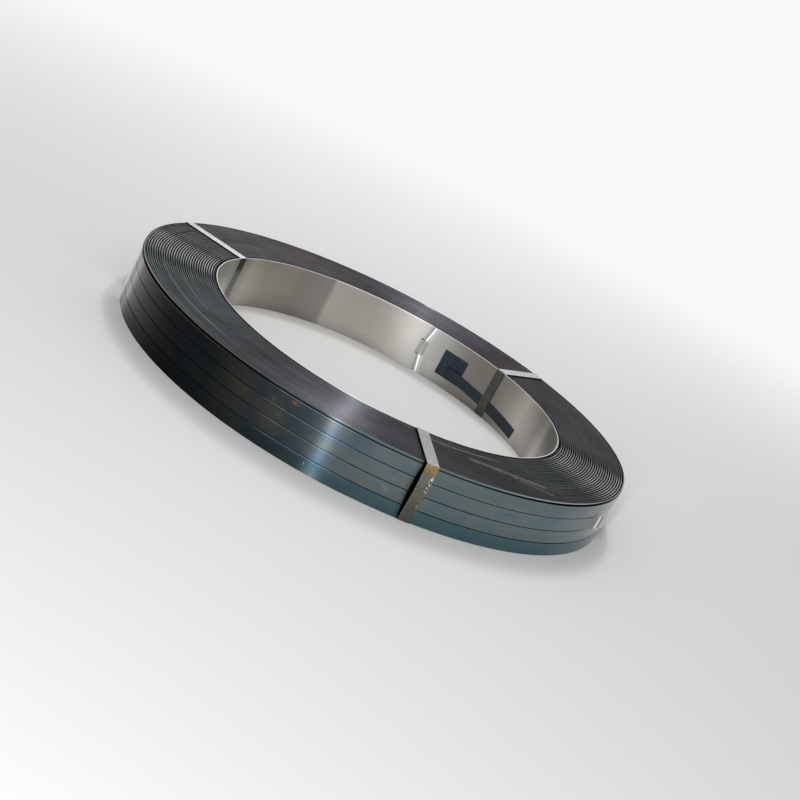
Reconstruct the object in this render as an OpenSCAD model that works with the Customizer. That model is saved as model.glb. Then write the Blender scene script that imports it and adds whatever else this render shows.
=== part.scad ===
// Coil of steel strapping: one long strap wound round a sheet steel core
// and held by three steel tie bands. It lies flat, with its axis along Z.

/* [Coil] */
// Inner diameter of the core, the bore that a dispenser hub enters
bore_d = 406; // [300:1:450]
// Outer diameter of the wound strap
coil_od = 570; // [520:1:700]
// Width of the coil along its axis
coil_w = 60; // [50:0.5:90]

/* [Strap] */
// Width of the strap
strap_w = 13; // [10:0.1:13.5]
// Thickness of the strap
strap_t = 0.5; // [0.4:0.01:0.6]
// Thickness of the laps that show as one ring on an end of the coil
ring_t = 1.4; // [1:0.05:1.8]
// Distance from one ring to the next
ring_pitch = 2.6; // [2.2:0.05:6]
// Depth of the hollow between two rings
ring_hollow = 2.5; // [1:0.1:5]

/* [Outer wall] */
// Number of strap widths side by side on the outer wall
wall_straps = 4; // [2:1:4]
// Height of the older lap that shows above the outermost strap
lip_h = 2.6; // [1:0.1:3.5]
// Width of the dark line under that older lap
lip_gap = 0.8; // [0.4:0.1:1.2]
// Depth of the steps and lines in the outer wall
seam_depth = 1; // [0.4:0.1:2]

/* [Core] */
// Thickness of the core's sheet steel
sheet_t = 0.8; // [0.5:0.05:0.9]
// Space between the core and the first lap of strap
core_gap = 0.4; // [0.2:0.05:1]
// Angle of the lap's edge that shows in the bore
lap_edge_angle = 117; // [105:1:130]
// Angle of the hidden end of the lap
lap_end_angle = 80.5; // [78:0.5:95]
// Angle taken up by the joggle where the sheet steps over its own thickness
joggle_angle = 2; // [1:0.5:4]
// Angle left open between the lap's edge and the joggle
joggle_gap = 1; // [0.5:0.5:3]

/* [Tongue of the core joint] */
// Height of the tongue
tongue_h = 18; // [10:0.5:24]
// Length of the tongue beyond its slot
tongue_l = 11; // [6:0.5:14]
// Depth of the middle of the tongue below the coil's upper end
tongue_drop = 29.5; // [20:0.5:35]
// Width of the slot round the tongue
slot_gap = 1; // [0.5:0.1:2]

/* [Window for the inner end] */
// Angle of the middle of the window
window_angle = 67.9; // [66:0.1:70]
// Width of the window
window_w = 34; // [30:0.5:38]
// Height of the window
window_h = 32; // [28:0.5:34]
// Depth of the window's top edge below the coil's upper end
window_drop = 16; // [12:0.5:18]

/* [Inner end of the strap] */
// Angle where the inner end has come through the window
tail_start_angle = 66.5; // [65.5:0.1:67]
// Angle taken up by the bend through the window
tail_bend_angle = 3.5; // [2.5:0.1:4]
// Angle at the cut end
tail_end_angle = 33.3; // [25:0.1:40]
// Depth of the strap's middle at the rear tie band, below the upper end
tail_drop = 44.5; // [43:0.1:46]
// Slope of the inner end across the bore
tail_slope = 4.8; // [3:0.1:6]

/* [Outer end of the strap] */
// Angle where the outer end leaves the wall
spring_angle = 328.5; // [320:0.5:332]
// Length that stands off the wall
spring_l = 50; // [30:1:70]
// Angle at which it springs off the wall
spring_lift = 1.5; // [1:0.1:3]
// Strap width that it belongs to, counted from the top
spring_width = 2; // [1:1:2]

/* [Tie bands] */
// Width of a tie band
band_w = 12.7; // [9:0.1:16]
// Thickness of a tie band
band_t = 0.4; // [0.3:0.01:0.45]
// Angle of the left tie band
band_left_angle = 161.2; // [155:0.1:170]
// Angle of the rear tie band, which holds the inner end
band_rear_angle = 50.8; // [42:0.1:55]
// Angle of the front tie band
band_front_angle = 285.4; // [275:0.1:295]
// Space between a tie band and the outer wall
band_wall_gap = 0.9; // [0.3:0.1:1.5]
// Space between the layers that lie in the bore
bore_gap = 0.03; // [0.02:0.01:0.05]
// Height of the overlap where a band's ends are joined
joint_h = 42; // [20:1:50]
// Height of one punched key in the joint
key_h = 3; // [2:0.1:5]
// Depth of one punched key from the band's edge
key_w = 2.2; // [1:0.1:4]
// Number of punched keys along each edge of the joint
key_count = 4; // [2:1:6]

/* [Hidden] */
$fn = 180;
bore_r = bore_d / 2;
coil_r = coil_od / 2;
// Overlap that joins pieces of one solid, in millimetres and in degrees
join = 0.3;
join_a = 0.5;
coil_z0 = band_t;
coil_z1 = coil_z0 + coil_w;
wound_r = bore_r + 2 * sheet_t + core_gap;
// Rings fill the build evenly from the first lap to the last
ring_count = floor((coil_r - wound_r - ring_t) / ring_pitch) + 1;
ring_step = (coil_r - wound_r - ring_t) / (ring_count - 1);
// The outermost laps share the height below the older lap
strap_zone = coil_w - lip_h - lip_gap;
strap_pitch = (strap_zone + (strap_zone - wall_straps * strap_w) / (wall_straps - 1)) / wall_straps;
seam_gap = strap_pitch - strap_w;
// The rear band lies over the inner end of the strap
tail_r = bore_r - bore_gap;
tail_in_r = tail_r - strap_t;
tail_z = coil_z1 - tail_drop;
window_z = coil_z1 - window_drop - window_h / 2;
tongue_z = coil_z1 - tongue_drop;
spring_z = coil_z0 + (wall_straps - spring_width) * strap_pitch + strap_w / 2;
spring_h = strap_w - join;
// Angle to each side of a tie band's middle that its width lies within
band_span = 3;

function polar(r, a) = [r * cos(a), r * sin(a)];

// Outline of the coil's section: rings on both ends, strap edges on the wall
function end_points(z, into) = [
    for (i = [0 : ring_count - 1])
        let (r = wound_r + i * ring_step)
            each i == 0 ? [[r, z], [r + ring_t, z]]
                : [[r - ring_step + ring_t, z + into], [r, z + into], [r, z], [r + ring_t, z]]
];
function reversed(points) = [for (i = [len(points) - 1 : -1 : 0]) points[i]];

module wound_section() {
    difference() {
        polygon(concat(end_points(coil_z0, ring_hollow), reversed(end_points(coil_z1, -ring_hollow))));
        translate([coil_r - seam_depth / 2, coil_z1 - lip_h])
            square([seam_depth, lip_h + join]);
        translate([coil_r - 2 * seam_depth, coil_z1 - lip_h - lip_gap])
            square([2 * seam_depth + join, lip_gap]);
        for (i = [1 : wall_straps - 1])
            translate([coil_r - seam_depth, coil_z0 + i * strap_pitch - seam_gap])
                square([seam_depth + join, seam_gap]);
    }
}

// Slanted slab, as wide as the strap, that the inner end is cut from
module tail_slab() {
    rotate([0, 0, band_rear_angle])
        translate([0, 0, tail_z])
            rotate([tail_slope, 0, 0])
                translate([0, -coil_r, -strap_w / 2])
                    cube([coil_r, 2 * coil_r, strap_w]);
}

// Part of a ring between two angles, seen from above
module sector(r_in, r_out, a_from, a_to, z0, z1) {
    translate([0, 0, z0])
        rotate([0, 0, a_from])
            rotate_extrude(angle = a_to - a_from)
                translate([r_in, 0])
                    square([r_out - r_in, z1 - z0]);
}

// The strap's inner end: through the window, then along the bore to its cut end
module inner_end() {
    bend_to = tail_start_angle + tail_bend_angle;
    intersection() {
        union() {
            sector(tail_in_r, tail_r, tail_end_angle, tail_start_angle, coil_z0, coil_z1);
            linear_extrude(height = coil_z1)
                polygon([
                    polar(tail_in_r, tail_start_angle - join_a),
                    polar(tail_r, tail_start_angle - join_a),
                    polar(wound_r + strap_t, bend_to),
                    polar(wound_r + strap_t, bend_to + 2 * join_a),
                    polar(wound_r - join, bend_to)
                ]);
        }
        tail_slab();
    }
}

// The strap's outer end springs straight off the wall
module outer_end() {
    rotate([0, 0, spring_angle])
        translate([coil_r - strap_t / 2, 0, spring_z - spring_h / 2])
            rotate([0, 0, -spring_lift])
                translate([-strap_t, 0, 0])
                    cube([strap_t, spring_l, spring_h]);
}

module strap_coil() {
    color([0.17, 0.2, 0.23]) {
        rotate_extrude()
            wound_section();
        inner_end();
        outer_end();
    }
}

// Rolled from one strip of sheet: its ends lap, and a tongue locks them
module core_liner() {
    gap_to = lap_edge_angle + joggle_gap;
    joggle_to = gap_to + joggle_angle;
    slot_a = asin(slot_gap / bore_r);
    tongue_a = asin(tongue_l / bore_r);
    slot_at = lap_end_angle + tongue_a / 2;
    mid_r = bore_r + sheet_t;
    out_r = mid_r + sheet_t;
    color([0.66, 0.65, 0.62])
        difference() {
            union() {
                difference() {
                    translate([0, 0, coil_z0])
                        cylinder(r = out_r, h = coil_w);
                    cylinder(r = bore_r, h = coil_z1 + join);
                    // One thickness of sheet everywhere but in the lap
                    sector(mid_r, out_r + join, joggle_to - 360, lap_end_angle, 0, coil_z1 + join);
                    sector(bore_r - join, mid_r, lap_edge_angle, gap_to, 0, coil_z1 + join);
                }
                sector(bore_r - sheet_t, bore_r + sheet_t / 2, lap_end_angle - tongue_a / 2,
                    slot_at, tongue_z - tongue_h / 2, tongue_z + tongue_h / 2);
            }
            for (side = [-1, 1])
                sector(bore_r - 2 * sheet_t, mid_r, slot_at - slot_a, slot_at + slot_a,
                    tongue_z + side * tongue_h / 2 - slot_gap, tongue_z + side * tongue_h / 2 + slot_gap);
            rotate([0, 0, window_angle])
                translate([bore_r / 2, -window_w / 2, window_z - window_h / 2])
                    cube([bore_r, window_w, window_h]);
        }
}

// Section of a band loop: folded sharply over the coil's edges
module band_section(in_r) {
    out_r = coil_r + band_wall_gap + band_t;
    top = coil_z1 + band_t;
    difference() {
        union() {
            translate([in_r, 0])
                square([out_r - in_r - band_t, top]);
            translate([in_r - band_t, band_t])
                square([out_r - in_r + band_t, top - 2 * band_t]);
            for (r = [in_r, out_r - band_t], z = [band_t, top - band_t])
                translate([r, z])
                    circle(r = band_t, $fn = 24);
        }
        translate([in_r, coil_z0])
            square([out_r - band_t - in_r, coil_w]);
    }
}

// The lapped ends on the outer wall, with keys punched into both edges
module band_joint() {
    joint_r = coil_r + band_wall_gap;
    key_pitch = joint_h / key_count;
    z0 = coil_z0 + (coil_w - joint_h) / 2;
    difference() {
        sector(joint_r, joint_r + 2 * band_t, -band_span, band_span, z0, z0 + joint_h);
        for (i = [0 : key_count - 1], side = [-1, 1])
            translate([joint_r + band_t, side * band_w / 2, z0 + (i + 0.5) * key_pitch])
                rotate([0, 45, 0])
                    translate([-key_h / 2, -key_w, -key_h / 2])
                        cube([key_h, 2 * key_w, key_h]);
    }
}

module tie_band(angle, in_r) {
    rotate([0, 0, angle])
        intersection() {
            union() {
                rotate([0, 0, -band_span])
                    rotate_extrude(angle = 2 * band_span)
                        band_section(in_r);
                band_joint();
            }
            translate([0, -band_w / 2, 0])
                cube([2 * coil_r, band_w, coil_z1 + 2 * band_t]);
        }
}

module tie_band_left() {
    color([0.72, 0.73, 0.75]) tie_band(band_left_angle, bore_r - bore_gap);
}

module tie_band_rear() {
    color([0.6, 0.6, 0.58]) tie_band(band_rear_angle, tail_in_r - bore_gap);
}

module tie_band_front() {
    color([0.66, 0.65, 0.64]) tie_band(band_front_angle, bore_r - bore_gap);
}

strap_coil();
core_liner();
tie_band_left();
tie_band_rear();
tie_band_front();
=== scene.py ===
import bpy
import math
from mathutils import Matrix, Vector


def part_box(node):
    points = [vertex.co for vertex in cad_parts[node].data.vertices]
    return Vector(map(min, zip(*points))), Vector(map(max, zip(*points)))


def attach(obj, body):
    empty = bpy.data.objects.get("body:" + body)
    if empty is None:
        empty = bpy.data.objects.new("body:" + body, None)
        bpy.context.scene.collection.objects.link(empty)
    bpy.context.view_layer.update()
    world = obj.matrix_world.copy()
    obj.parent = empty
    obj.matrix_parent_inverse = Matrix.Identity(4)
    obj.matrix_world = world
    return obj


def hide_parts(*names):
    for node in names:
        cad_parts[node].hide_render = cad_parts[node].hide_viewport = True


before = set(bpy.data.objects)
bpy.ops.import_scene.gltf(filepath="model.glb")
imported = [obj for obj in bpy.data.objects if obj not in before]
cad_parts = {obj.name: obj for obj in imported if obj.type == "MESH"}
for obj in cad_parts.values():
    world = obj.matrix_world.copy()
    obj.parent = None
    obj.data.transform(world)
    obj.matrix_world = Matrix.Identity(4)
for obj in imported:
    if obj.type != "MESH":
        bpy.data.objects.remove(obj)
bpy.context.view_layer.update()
scene = bpy.context.scene
scene.view_settings.view_transform = "Standard"

# Camera. The photograph looks across the coil from about 17 degrees above its upper end,
# with the coil tipped over in the picture. The coil lies flat here, so the camera rolls instead.
CAMERA_AT = Vector((-0.0252, -1.4894, 0.4606))
CAMERA_AIMS_AT = Vector((0.0309, -0.0408, 0.0304))
CAMERA_ROLL = math.radians(28.23)
CAMERA_LENS = 64.67
SENSOR_WIDTH = 36.0
FARTHEST_SEEN = 50.0

camera_data = bpy.data.cameras.new("camera")
camera_data.lens = CAMERA_LENS
camera_data.sensor_width = SENSOR_WIDTH
camera_data.clip_end = FARTHEST_SEEN
camera = bpy.data.objects.new("camera", camera_data)
scene.collection.objects.link(camera)
scene.camera = camera
look = (CAMERA_AIMS_AT - CAMERA_AT).normalized().to_track_quat("-Z", "Y")
roll = Matrix.Rotation(CAMERA_ROLL, 4, "Z")
camera.matrix_world = Matrix.Translation(CAMERA_AT) @ look.to_matrix().to_4x4() @ roll

# Floor and light. A pale floor fades into a white background under soft, even light. The key lamp above and
# behind draws the highlights across the ends, the flash beside the camera the one down the wall, and the crest
# lamp the narrow glint on the ends.
FLOOR_PALE = (0.60, 0.592, 0.575)
FLOOR_FADE_AT = (0.35, -0.65, 0.0)
FLOOR_FADE_FROM = 0.9
FLOOR_FADE_TO = 2.7
FLOOR_SIZE = 30.0
BACKGROUND = (0.95, 0.953, 0.955)
WORLD_LIGHT = (0.62, 0.63, 0.65)
# Each lamp: its place, what it aims at, its width and height in metres, and its power in watts
LAMPS = {
    "key": ((-0.10, 0.9, 1.9), (0, 0, 0), 0.6, 1.0, 10.0),
    "flash": ((-0.23, -1.9, 0.60), (0, 0, 0.03), 0.04, 1.0, 28.0),
    "crest": ((-0.045, 1.1, 1.85), (0, 0, 0.03), 0.04, 0.6, 8.0),
}


def material(name):
    """An empty node material: its node tree and its output's surface socket."""
    made = bpy.data.materials.new(name)
    made.use_nodes = True
    made.node_tree.nodes.clear()
    output = made.node_tree.nodes.new("ShaderNodeOutputMaterial")
    return made, made.node_tree, output.inputs["Surface"]


def add(tree, kind, settings=None, **inputs):
    """A node of a tree with its settings, values and links; a socket's spaces are written as _."""
    node = tree.nodes.new(kind)
    for name, value in (settings or {}).items():
        setattr(node, name, value)
    for name, value in inputs.items():
        socket = node.inputs[int(name[1:])] if name[1:].isdigit() else node.inputs[name.replace("_", " ")]
        if isinstance(value, bpy.types.NodeSocket):
            tree.links.new(value, socket)
        else:
            socket.default_value = value
    return node


def numbered(values):
    return {f"_{i}": value for i, value in enumerate(values)}


def calc(tree, operation, *values):
    """The result of one sum of numbers or sockets."""
    return add(tree, "ShaderNodeMath", {"operation": operation}, **numbered(values)).outputs[0]


def vec(tree, operation, *values, **named):
    """The result of one vector sum, which is a number for a length, a distance or a dot product."""
    node = add(tree, "ShaderNodeVectorMath", {"operation": operation}, **numbered(values), **named)
    return node.outputs["Value" if operation in ("LENGTH", "DISTANCE", "DOT_PRODUCT") else "Vector"]


def smooth(tree, value, low, high, **to):
    """Eases from 0 to 1, or from To_Min to To_Max, as the value goes from low to high."""
    return add(tree, "ShaderNodeMapRange", {"interpolation_type": "SMOOTHSTEP"}, Value=value, From_Min=low,
               From_Max=high, **to).outputs[0]


def rgba(colour):
    return (*colour, 1.0)


def mesh_of(name, points, faces, *finishes):
    mesh = bpy.data.meshes.new(name)
    mesh.from_pydata(points, [], faces)
    for finish in finishes:
        mesh.materials.append(finish)
    mesh.update()
    return mesh


def seen_directly(tree):
    """1 for what the camera, a mirror or a glass sees, 0 for light that falls on the object."""
    path = add(tree, "ShaderNodeLightPath").outputs
    seen = calc(tree, "MAXIMUM", path["Is Camera Ray"], path["Is Glossy Ray"])
    return calc(tree, "MAXIMUM", seen, path["Is Transmission Ray"])


floor_finish, tree, surface = material("floor")
place = add(tree, "ShaderNodeTexCoord").outputs["Object"]
distance = vec(tree, "DISTANCE", place, FLOOR_FADE_AT)
fade = smooth(tree, distance, FLOOR_FADE_FROM, FLOOR_FADE_TO)
pale = add(tree, "ShaderNodeBsdfDiffuse", Color=rgba(FLOOR_PALE))
glow = add(tree, "ShaderNodeEmission", Color=rgba(BACKGROUND))
faded = calc(tree, "MULTIPLY", fade, seen_directly(tree))
blend = add(tree, "ShaderNodeMixShader", _0=faded, _1=pale.outputs[0], _2=glow.outputs[0])
tree.links.new(blend.outputs[0], surface)
half = FLOOR_SIZE / 2
corners = [(-half, -half, 0), (half, -half, 0), (half, half, 0), (-half, half, 0)]
floor = bpy.data.objects.new("floor", mesh_of("floor", corners, [(0, 1, 2, 3)], floor_finish))
scene.collection.objects.link(floor)

world = bpy.data.worlds.new("studio")
scene.world = world
world.use_nodes = True
tree = world.node_tree
tree.nodes.clear()
soft = add(tree, "ShaderNodeBackground", Color=rgba(WORLD_LIGHT))
white = add(tree, "ShaderNodeBackground", Color=rgba(BACKGROUND))
world_blend = add(tree, "ShaderNodeMixShader", _0=seen_directly(tree), _1=soft.outputs[0], _2=white.outputs[0])
world_out = tree.nodes.new("ShaderNodeOutputWorld")
tree.links.new(world_blend.outputs[0], world_out.inputs["Surface"])

for name, (at, towards, width, height, power) in LAMPS.items():
    lamp_data = bpy.data.lights.new(name, "AREA")
    lamp_data.shape = "ELLIPSE"
    lamp_data.size = width
    lamp_data.size_y = height
    lamp_data.energy = power
    lamp = bpy.data.objects.new(name, lamp_data)
    scene.collection.objects.link(lamp)
    lamp.location = at
    lamp.rotation_euler = (Vector(towards) - Vector(at)).to_track_quat("-Z", "Y").to_euler()

# Wound strap. One blued and waxed steel strap, 13 mm wide, is wound back and forth over the core.
# The laps show edge-on as rings on both ends, and four strap widths lie side by side on the wall.
coil_low, coil_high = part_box("strap_coil")
COIL_R = coil_high.x
END_LOW = coil_low.z
END_HIGH = coil_high.z
COIL_H = END_HIGH - END_LOW
BORE_R = 0.203
WOUND_R = 0.205
RING_T = 0.0014
RING_HOLLOW = 0.0025
RINGS = 31
STRAP_W = 0.013
STRAP_T = 0.0005
WALL_STEPS = 360
LIP_H = 0.0026
LIP_GAP = 0.0008
WALL_STRAPS = 4
SHARP_FROM = math.radians(20)
zone = COIL_H - LIP_H - LIP_GAP
gap = (zone - WALL_STRAPS * STRAP_W) / (WALL_STRAPS - 1)
strap_middles = [END_HIGH - LIP_H - LIP_GAP - STRAP_W / 2 - i * (STRAP_W + gap) for i in range(WALL_STRAPS)]


def link(name, mesh, slot, *stands_for):
    """Puts a finished mesh in the scene as a piece of the root body."""
    piece = bpy.data.objects.new(name, mesh)
    scene.collection.objects.link(piece)
    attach(piece, "root")
    if stands_for:
        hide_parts(*stands_for)


def ring_faces(steps, count):
    """Faces of a closed ring of sections, each a closed line of points."""
    faces = []
    for i in range(steps):
        here, there = i * count, (i + 1) % steps * count
        faces += [(here + j, there + j, there + (j + 1) % count, here + (j + 1) % count) for j in range(count)]
    return faces


def geometry_tree(name, defaults):
    """A Geometry Nodes tree with a geometry in and out, and inputs by name and default; None is a material."""
    tree = bpy.data.node_groups.new(name, "GeometryNodeTree")
    tree.interface.new_socket("Geometry", in_out="INPUT", socket_type="NodeSocketGeometry")
    tree.interface.new_socket("Geometry", in_out="OUTPUT", socket_type="NodeSocketGeometry")
    for label, default in defaults.items():
        kind = "NodeSocketMaterial" if default is None else "NodeSocketFloat"
        socket = tree.interface.new_socket(label, in_out="INPUT", socket_type=kind)
        if default is not None:
            socket.default_value = default
    return tree, tree.nodes.new("NodeGroupInput").outputs, tree.nodes.new("NodeGroupOutput").inputs[0]


def flat_sided(mesh):
    """Smooth along its bends, but with flat faces between its edges."""
    mesh.shade_smooth()
    mesh.set_sharp_from_angle(angle=SHARP_FROM)
    return mesh


def grow(tree, source, values):
    """Runs a Geometry Nodes tree on an object and returns the result as a plain mesh."""
    modifier = source.modifiers.new(tree.name, "NODES")
    modifier.node_group = tree
    names = {item.name: item.identifier for item in tree.interface.items_tree if item.in_out == "INPUT"}
    for label, value in values.items():
        modifier[names[label]] = value
    bpy.context.view_layer.update()
    ready = source.evaluated_get(bpy.context.evaluated_depsgraph_get())
    mesh = bpy.data.meshes.new_from_object(ready)
    bpy.data.objects.remove(source)
    return flat_sided(mesh)


# The tree sweeps a flat strap, standing on its edge, along a curve, and lets it wander a little
sweep, given, out = geometry_tree("strap_sweep", {
    "Strap height": STRAP_W, "Strap thickness": STRAP_T, "Edge radius": 0.0002, "Wander out": 0.0,
    "Wander up": 0.0, "Wander scale": 8.0, "Wander seed": 0.0, "Finish": None})
upright = add(sweep, "GeometryNodeSetCurveNormal", {"mode": "Z_UP"}, Curve=given["Geometry"])
spot = add(sweep, "GeometryNodeInputPosition").outputs[0]
wave = add(sweep, "ShaderNodeTexNoise", {"noise_dimensions": "4D"}, Vector=spot, W=given["Wander seed"],
           Scale=given["Wander scale"], Detail=2.0)
centred = vec(sweep, "SUBTRACT", wave.outputs["Color"], (0.5,) * 3)
parts = add(sweep, "ShaderNodeSeparateXYZ", Vector=centred)
flat = vec(sweep, "MULTIPLY", spot, (1, 1, 0))
outward = vec(sweep, "NORMALIZE", flat)
out_by = calc(sweep, "MULTIPLY", parts.outputs["X"], given["Wander out"])
up_by = calc(sweep, "MULTIPLY", parts.outputs["Y"], given["Wander up"])
shift_out = vec(sweep, "SCALE", outward, Scale=out_by)
shift_up = add(sweep, "ShaderNodeCombineXYZ", Z=up_by)
shift = vec(sweep, "ADD", shift_out, shift_up.outputs[0])
wandered = add(sweep, "GeometryNodeSetPosition", Geometry=upright.outputs[0], Offset=shift)
section = add(sweep, "GeometryNodeCurvePrimitiveQuadrilateral",
              Width=given["Strap thickness"], Height=given["Strap height"])
rounded = add(sweep, "GeometryNodeFilletCurve", {"mode": "POLY"}, Curve=section.outputs[0], Count=1,
              Radius=given["Edge radius"])
swept = add(sweep, "GeometryNodeCurveToMesh", Curve=wandered.outputs[0], Profile_Curve=rounded.outputs[0],
            Fill_Caps=True)
real = add(sweep, "GeometryNodeRealizeInstances", Geometry=swept.outputs[0])
finished = add(sweep, "GeometryNodeSetMaterial", Geometry=real.outputs[0], Material=given["Finish"])
sweep.links.new(finished.outputs[0], out)


def route(name, points, closed):
    """A poly curve through the given points, for a tree to work on."""
    data = bpy.data.curves.new(name, "CURVE")
    data.dimensions = "3D"
    line = data.splines.new("POLY")
    line.points.add(len(points) - 1)
    for vertex, place in zip(line.points, points):
        vertex.co = (*place, 1.0)
    line.use_cyclic_u = closed
    made = bpy.data.objects.new(name, data)
    scene.collection.objects.link(made)
    return made


def around(radius, angle, height):
    return (radius * math.cos(angle), radius * math.sin(angle), height)


# Blued steel: its tint changes round the coil from brown black through navy to steel blue, partly the bluing
# and partly painted reflection and highlight; fine rolling streaks run along the strap, and patches of the wax
# are dull or rusty.
def shader_group(name, defaults, *results):
    """A shader node group with inputs by name and default, numbers or vectors, and outputs that are numbers."""
    tree = bpy.data.node_groups.new(name, "ShaderNodeTree")
    for label, default in defaults.items():
        kind = "NodeSocketVector" if isinstance(default, tuple) else "NodeSocketFloat"
        tree.interface.new_socket(label, in_out="INPUT", socket_type=kind).default_value = default
    for label in results:
        tree.interface.new_socket(label, in_out="OUTPUT", socket_type="NodeSocketFloat")
    return tree, tree.nodes.new("NodeGroupInput").outputs, tree.nodes.new("NodeGroupOutput").inputs


# Noise drawn out round the coil's axis: "Around" waves round the coil, "Across" per metre across it
streaks, given, out = shader_group("streaks_round_axis", {
    "Around": 3.0, "Across": 900.0, "Detail": 3.0,
}, "Value")
place = add(streaks, "ShaderNodeTexCoord").outputs["Object"]
flat = vec(streaks, "MULTIPLY", place, (1, 1, 0))
radius = vec(streaks, "LENGTH", flat)
heading = vec(streaks, "NORMALIZE", flat)
heading = vec(streaks, "SCALE", heading, Scale=given["Around"])
height = add(streaks, "ShaderNodeSeparateXYZ", Vector=place).outputs["Z"]
out_across = calc(streaks, "MULTIPLY", radius, given["Across"])
up_across = calc(streaks, "MULTIPLY", height, given["Across"])
out_vector = add(streaks, "ShaderNodeCombineXYZ", Z=out_across)
where = vec(streaks, "ADD", heading, out_vector.outputs[0])
grain = add(streaks, "ShaderNodeTexNoise", {"noise_dimensions": "4D"}, Vector=where, W=up_across, Scale=1.0,
            Detail=given["Detail"])
streaks.links.new(grain.outputs["Fac"], out["Value"])


def ramp(tree, value, stops):
    """A colour ramp with stops of (position, colour), or a number in a colour's place."""
    node = add(tree, "ShaderNodeValToRGB", Fac=value)
    while len(node.color_ramp.elements) < len(stops):
        node.color_ramp.elements.new(0.5)
    for element, (position, colour) in zip(node.color_ramp.elements, stops):
        element.position = position
        element.color = rgba(colour if isinstance(colour, tuple) else (colour,) * 3)
    return node.outputs["Color"]


def grouped(tree, group, **inputs):
    """The first output of a node group."""
    return add(tree, "ShaderNodeGroup", {"node_tree": group}, **inputs).outputs[0]


def linear(tree, value, low, high, **to):
    """Goes evenly from 0 to 1, or from To_Min to To_Max, as the value goes from low to high."""
    return add(tree, "ShaderNodeMapRange", Value=value, From_Min=low, From_Max=high, **to).outputs[0]


def apart(tree, first, second):
    """How far two values are apart."""
    return calc(tree, "ABSOLUTE", calc(tree, "SUBTRACT", first, second))


def noise(tree, scale, detail):
    """Noise fixed to the object."""
    place = add(tree, "ShaderNodeTexCoord").outputs["Object"]
    return add(tree, "ShaderNodeTexNoise", Vector=place, Scale=scale, Detail=detail).outputs["Fac"]


def polar_of(tree):
    """Angle, Radius and Height of the point that is shaded."""
    return add(tree, "ShaderNodeGroup", {"node_tree": polar}).outputs


# Place by a tie band's own directions: "Along" out from the axis, "Across" from the band's middle line,
# which lies a little aslant on the ends, by its shifts at the bore and at the wall
band_place, given, out = shader_group("band_place", {
    "Band angle": 0.0, "Bore shift": 0.0, "Wall shift": 0.0,
}, "Along", "Across", "Height")
place = add(band_place, "ShaderNodeTexCoord").outputs["Object"]
back = calc(band_place, "MULTIPLY", given["Band angle"], -math.pi / 180)
turned_place = add(band_place, "ShaderNodeVectorRotate", {"rotation_type": "Z_AXIS"}, Vector=place, Angle=back)
parts = add(band_place, "ShaderNodeSeparateXYZ", Vector=turned_place.outputs[0])
shift = linear(band_place, parts.outputs["X"], BORE_R, COIL_R, To_Min=given["Bore shift"],
               To_Max=given["Wall shift"])
across = calc(band_place, "SUBTRACT", parts.outputs["Y"], shift)
band_place.links.new(parts.outputs["X"], out["Along"])
band_place.links.new(across, out["Across"])
band_place.links.new(parts.outputs["Z"], out["Height"])

# A dark line beside a tie band, where the strap under the band's lifted edge gets no light. It is widest
# half way down the wall, where the band stands off. "Side" is 1 for the edge at the greater angle, or -1.
# The shade leans out by the first number over the wall's height, and bulges by the second.
SHADE_LEAN = 0.0018
SHADE_BULGE = 0.0085
beside, given, out = shader_group("shade_beside_band", {
    "Band angle": 0.0, "Bore shift": 0.0, "Wall shift": 0.0, "Side": 1.0, "Reach": 0.007,
}, "Value")
where = add(beside, "ShaderNodeGroup", {"node_tree": band_place}, Band_angle=given["Band angle"],
            Bore_shift=given["Bore shift"], Wall_shift=given["Wall shift"]).outputs
across = calc(beside, "MULTIPLY", where["Across"], given["Side"])
up = calc(beside, "DIVIDE", where["Height"], END_HIGH)
down = calc(beside, "SUBTRACT", 1.0, up)
bowed = calc(beside, "MULTIPLY", up, down)
reach = calc(beside, "MULTIPLY_ADD", up, SHADE_LEAN, given["Reach"])
reach = calc(beside, "MULTIPLY_ADD", bowed, SHADE_BULGE, reach)
beyond = calc(beside, "SUBTRACT", across, reach)
near = smooth(beside, across, -0.0072, -0.0064)
dark = smooth(beside, beyond, 0.0009, -0.0004)
soft = linear(beside, beyond, 0.0050, -0.0010, To_Max=0.5)
far = calc(beside, "MAXIMUM", dark, soft)
both = calc(beside, "MULTIPLY", near, far)
this_half = calc(beside, "GREATER_THAN", where["Along"], 0.0)
shade = calc(beside, "MULTIPLY", both, this_half)
beside.links.new(shade, out["Value"])

# Position as angle round the axis in degrees (0 to 360), radius and height, in metres
polar, given, out = shader_group("polar_place", {}, "Angle", "Radius", "Height")
place = add(polar, "ShaderNodeTexCoord").outputs["Object"]
parts = add(polar, "ShaderNodeSeparateXYZ", Vector=place)
minus_y = calc(polar, "MULTIPLY", parts.outputs["Y"], -1.0)
minus_x = calc(polar, "MULTIPLY", parts.outputs["X"], -1.0)
angle = calc(polar, "ARCTAN2", minus_y, minus_x)
degrees = calc(polar, "MULTIPLY_ADD", angle, 180 / math.pi, 180.0)
flat = vec(polar, "MULTIPLY", place, (1, 1, 0))
radius = vec(polar, "LENGTH", flat)
polar.links.new(degrees, out["Angle"])
polar.links.new(radius, out["Radius"])
polar.links.new(parts.outputs["Z"], out["Height"])
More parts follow.
